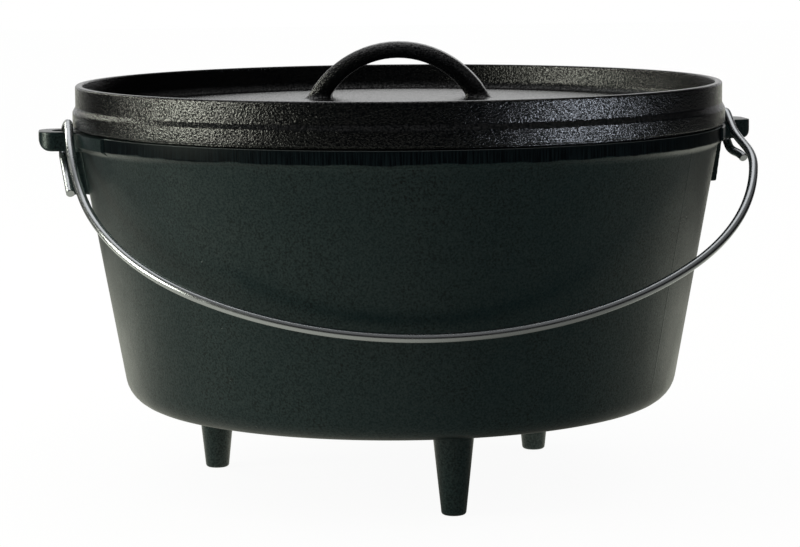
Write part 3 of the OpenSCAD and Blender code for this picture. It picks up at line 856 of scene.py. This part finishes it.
def swayed(bail, p):
    """A point of the level bail, moved by its shift, and in its loop by its sway and twist."""
    t = min(1, max(0, (-p.y - bail.sway_start) / bail.sway_run)) if p.z > 0 else 0
    bent = t * t * (3 - 2 * t)
    lift = p.x * math.tan(bail.twist) * bent
    return Vector((p.x + bail.shift + bail.sway * bent, p.y, p.z + lift))


def wire_path(bail):
    """The whole wire laid level, from the left tail's end to the right tail's end."""
    half = wire_half(bail)
    hook_x = bail.half_w + bail.hook_step
    left = [Vector((-p.x, p.y, p.z)) for p in reversed(half)][:-1]
    left_end = Vector((bail.tail_lean - hook_x, -bail.left_tail, -bail.hook_r))
    centre = Vector((hook_x + bail.kick_r, -bail.right_tail, -bail.hook_r))

    def from_centre(a):
        return bail.kick_r * Vector((math.cos(a), math.sin(a), 0))

    right = []
    for k in range(KICK_OUT_STEPS + 1):
        right.append(centre + from_centre(math.pi + bail.kick_out * k / KICK_OUT_STEPS))
    centre -= 2 * from_centre(bail.kick_out)
    for k in range(1, KICK_BACK_STEPS + 1):
        right.append(centre + from_centre(bail.kick_out - bail.kick_back * k / KICK_BACK_STEPS))
    return [swayed(bail, p) for p in (left_end, *left, *half, *right)]


def wire(bail):
    """The wire as one round skin along its path, with a small chamfer at each cut end."""
    path = wire_path(bail)
    ways = [(b - a).normalized() for a, b in zip(path, path[1:])]
    stations = []
    for i, p in enumerate(path):
        way = (ways[max(0, i - 1)] + ways[min(i, len(ways) - 1)]).normalized()
        stations.append((p, way, bail.wire_d / 2))
    first, last, edge = stations[0], stations[-1], bail.end_edge
    stations[0] = (first[0] + first[1] * edge, *first[1:])
    stations[-1] = (last[0] - last[1] * edge, *last[1:])
    small = bail.wire_d / 2 - edge
    stations = [(first[0], first[1], small), *stations, (last[0], last[1], small)]
    side = Vector((0, 0, 1))
    sections = []
    for place, way, r in stations:
        side = (side - way * side.dot(way)).normalized()
        other = way.cross(side)
        sections.append([
            place + r * (math.cos(a) * side + math.sin(a) * other) for a in around(bail.sides)])
    return loft("bail_wire", sections)


class OVEN_OT_bail(bpy.types.Operator):
    """Builds the wire bail, hanging on its hooks at the front"""
    bl_idname = "oven.bail"
    bl_label = "Bail"

    def execute(self, context):
        bail = context.scene.oven_bail
        hinge = next(j for j in frame["joints"] if j["child"] == "bail")
        piece = wire(bail)
        piece.data.transform(
            Matrix.Translation(hinge["pos_m"]) @ Matrix.Rotation(bail.hang, 4, "X"))
        finished(piece, "bail", "bail",
                 bright_drawn_steel(context.scene.oven_finish), sharp=30)
        return {"FINISHED"}


# The studio

# Level directions as the camera sees them, and the way up to the glow overhead
BEHIND, LEFT, FRONT_RIGHT = (0.148, 0.989, 0), (-0.989, 0.148, 0), (0.522, -0.853, 0)
OVERHEAD = (-0.1, 0.42, 0.9)
# Painted light on the paper towards a direction: from one cosine to another, and from one level to
# another
PAINTED_POOL = (
    (LEFT, -0.1, 0.95, 0.27, 0.44),
    (BEHIND, -0.1, 0.6, 0, 0.5),
    (FRONT_RIGHT, 0.75, 1, 0, -0.15),
)
# Each lamp's place, width and height in metres, the setting of its colour, and its watts
LAMPS = {
    "left_bank": ((-1.22, -0.16, 0.33), 0.6, 0.45, "left_light", 9.5),
    "right_bank": ((1.06, -0.75, 0.15), 0.36, 0.12, "right_light", 5),
    "back_lamp": ((-0.98, 0.99, 0.75), 0.35, 0.35, "left_light", 3),
}
LAMP_AIM = (0, 0, 0.19)


def white_sweep(tree, way):
    """How much of the white sweep lies in a direction: all of it straight behind the oven."""
    behind = add_node(tree, "VectorMath", DOT_PRODUCT, {0: way, 1: BEHIND})
    return add_node(tree, "MapRange", SMOOTH, {
        "Value": behind.outputs["Value"], "From Min": 0.84, "From Max": 0.96}).outputs["Result"]


def studio_paper(stage):
    """Matt white paper, white to the camera. In mirrors it is white straight behind the oven, with
    a painted pool of warm light close round it, more on the left, fading into a painted dark of the
    studio."""
    material, tree = new_material("studio_paper")
    path = add_node(tree, "LightPath").outputs
    place = add_node(tree, "NewGeometry").outputs["Position"]
    way = add_node(tree, "VectorMath", {"operation": "NORMALIZE"}, {0: place}).outputs["Vector"]
    # The painted pool of light fades away from the oven
    far = add_node(tree, "VectorMath", {"operation": "LENGTH"}, {0: place})
    near = add_node(tree, "MapRange", SMOOTH, {
        "Value": far.outputs["Value"], "From Min": 0.4, "From Max": 0.95,
        "To Min": 1, "To Max": 0.02})
    # Painted light, not a lamp: an emission on the paper that only mirrors see, brighter to the
    # left and behind, darker to the front right
    lit = 0
    for towards, start, end, low, high in PAINTED_POOL:
        facing = add_node(tree, "VectorMath", DOT_PRODUCT, {0: way, 1: towards})
        more = add_node(tree, "MapRange", SMOOTH, {
            "Value": facing.outputs["Value"], "From Min": start, "From Max": end,
            "To Min": low, "To Max": high})
        lit = add_node(tree, "Math", {"operation": "ADD"}, {
            0: lit, 1: more.outputs["Result"]}).outputs["Value"]
    level = add_node(tree, "Math", MULTIPLY, {
        0: near.outputs["Result"], 1: lit}).outputs["Value"]
    for white in (white_sweep(tree, way), path["Is Camera Ray"]):
        level = add_node(tree, "Math", MAXIMUM, {0: level, 1: white}).outputs["Value"]
    # The painted pool takes the left bank's warm colour
    tint = add_node(tree, "Mix", RGBA, {
        "Factor": path["Is Camera Ray"], "A": (*stage.left_light, 1), "B": (1, 1, 1, 1)})
    glow = add_node(tree, "Emission", inputs={"Color": tint.outputs["Result"], "Strength": level})
    matt = add_node(tree, "BsdfDiffuse", inputs={"Color": (*stage.paper, 1)})
    seen = path["Is Camera Ray"]
    for ray in ("Is Glossy Ray", "Is Transmission Ray"):
        seen = add_node(tree, "Math", MAXIMUM, {0: seen, 1: path[ray]}).outputs["Value"]
    # A little of the matt paper stays in sight, and with it the oven's shadow
    share = add_node(tree, "MapRange", inputs={"Value": seen, "To Max": 0.94})
    mixed = add_node(tree, "MixShader", inputs={
        0: share.outputs["Result"], 1: matt.outputs["BSDF"], 2: glow.outputs["Emission"]})
    add_node(tree, "OutputMaterial", inputs={"Surface": mixed.outputs["Shader"]})
    return material


def studio_world(scene):
    """A white sweep straight behind the oven, a soft glow overhead on a faint ceiling, and dark
    where the camera stands. Matt surfaces take an even white light from all round."""
    scene.world = bpy.data.worlds.new("studio")
    scene.world.use_nodes = True
    tree = scene.world.node_tree
    tree.nodes.clear()
    path = add_node(tree, "LightPath").outputs
    way = add_node(tree, "TexCoord").outputs["Generated"]
    above = add_node(tree, "VectorMath", DOT_PRODUCT, {0: way, 1: OVERHEAD})
    overhead = add_node(tree, "MapRange", SMOOTH, {
        "Value": above.outputs["Value"], "From Min": 0.79, "From Max": 0.91, "To Max": 0.85})
    up = add_node(tree, "SeparateXYZ", inputs={"Vector": way}).outputs["Z"]
    ceiling = add_node(tree, "MapRange", SMOOTH, {
        "Value": up, "From Min": 0.2, "From Max": 0.8, "To Min": 0.005, "To Max": 0.14})
    level = white_sweep(tree, way)
    for other in (overhead.outputs["Result"], ceiling.outputs["Result"],
                  path["Is Camera Ray"], path["Is Diffuse Ray"]):
        level = add_node(tree, "Math", MAXIMUM, {0: level, 1: other}).outputs["Value"]
    glow = add_node(tree, "Background", inputs={"Color": (1, 1, 1, 1), "Strength": level})
    add_node(tree, "OutputWorld", inputs={"Surface": glow.outputs["Background"]})


def light_bank(name, place, width, height, tint, watts):
    """A soft rectangular lamp, aimed at the rim."""
    light = bpy.data.lights.new(name, "AREA")
    light.shape = "RECTANGLE"
    light.size, light.size_y = width, height
    light.color = tint
    light.energy = watts
    lamp = bpy.data.objects.new(name, light)
    lamp.location = place
    way = Vector(LAMP_AIM) - Vector(place)
    lamp.rotation_euler = way.to_track_quat("-Z", "Y").to_euler()
    bpy.context.scene.collection.objects.link(lamp)
    return lamp


class OVEN_OT_stage(bpy.types.Operator):
    """Sets the camera, the paper, the lights and the white background"""
    bl_idname = "oven.stage"
    bl_label = "Studio"

    def execute(self, context):
        scene = context.scene
        stage = scene.oven_stage
        scene.view_settings.view_transform = "Standard"

        camera = bpy.data.objects.new("camera", bpy.data.cameras.new("camera"))
        camera.data.lens = stage.lens
        camera.data.sensor_width = 36
        camera.data.sensor_fit = "HORIZONTAL"
        camera.data.clip_start, camera.data.clip_end = 0.05, 50
        camera.matrix_world = (
            Matrix.Translation(stage.camera_place)
            @ Matrix.Rotation(stage.camera_heading, 4, "Z")
            @ Matrix.Rotation(math.pi / 2 - stage.camera_pitch, 4, "X")
            @ Matrix.Rotation(stage.camera_roll, 4, "Z"))
        scene.collection.objects.link(camera)
        scene.camera = camera

        bm = bmesh.new()
        bmesh.ops.create_grid(bm, x_segments=8, y_segments=8, size=6)
        paper = new_object("paper", bm)
        paper.data.materials.append(studio_paper(stage))

        studio_world(scene)
        lamps = {
            name: light_bank(name, place, width, height, getattr(stage, tint), watts)
            for name, (place, width, height, tint, watts) in LAMPS.items()}
        # A flag keeps the right bank off the pot and the bail
        lit = bpy.data.collections.new("lit_from_the_right")
        lit.objects.link(bpy.data.objects["lid_casting"])
        lamps["right_bank"].light_linking.receiver_collection = lit
        return {"FINISHED"}


class OVEN_PT_build(bpy.types.Panel):
    """Buttons that build the oven piece by piece"""
    bl_idname = "OVEN_PT_build"
    bl_label = "Camp Dutch Oven"
    bl_space_type = "VIEW_3D"
    bl_region_type = "UI"
    bl_category = "Oven"

    def draw(self, context):
        for operator in OPERATORS:
            self.layout.operator(operator.bl_idname)


GROUPS = {
    "oven_pot": PotSettings,
    "oven_lid": LidSettings,
    "oven_bail": BailSettings,
    "oven_finish": FinishSettings,
    "oven_stage": StageSettings,
}
OPERATORS = (OVEN_OT_pot, OVEN_OT_lid, OVEN_OT_bail, OVEN_OT_stage)


def register():
    for cls in (*GROUPS.values(), *OPERATORS, OVEN_PT_build):
        bpy.utils.register_class(cls)
    for name, group in GROUPS.items():
        setattr(bpy.types.Scene, name, PointerProperty(type=group))


def unregister():
    for name in GROUPS:
        delattr(bpy.types.Scene, name)
    for cls in (OVEN_PT_build, *OPERATORS, *GROUPS.values()):
        bpy.utils.unregister_class(cls)


def main():
    register()
    bpy.ops.oven.pot()
    bpy.ops.oven.lid()
    bpy.ops.oven.bail()
    bpy.ops.oven.stage()


if __name__ == "__main__":
    main()
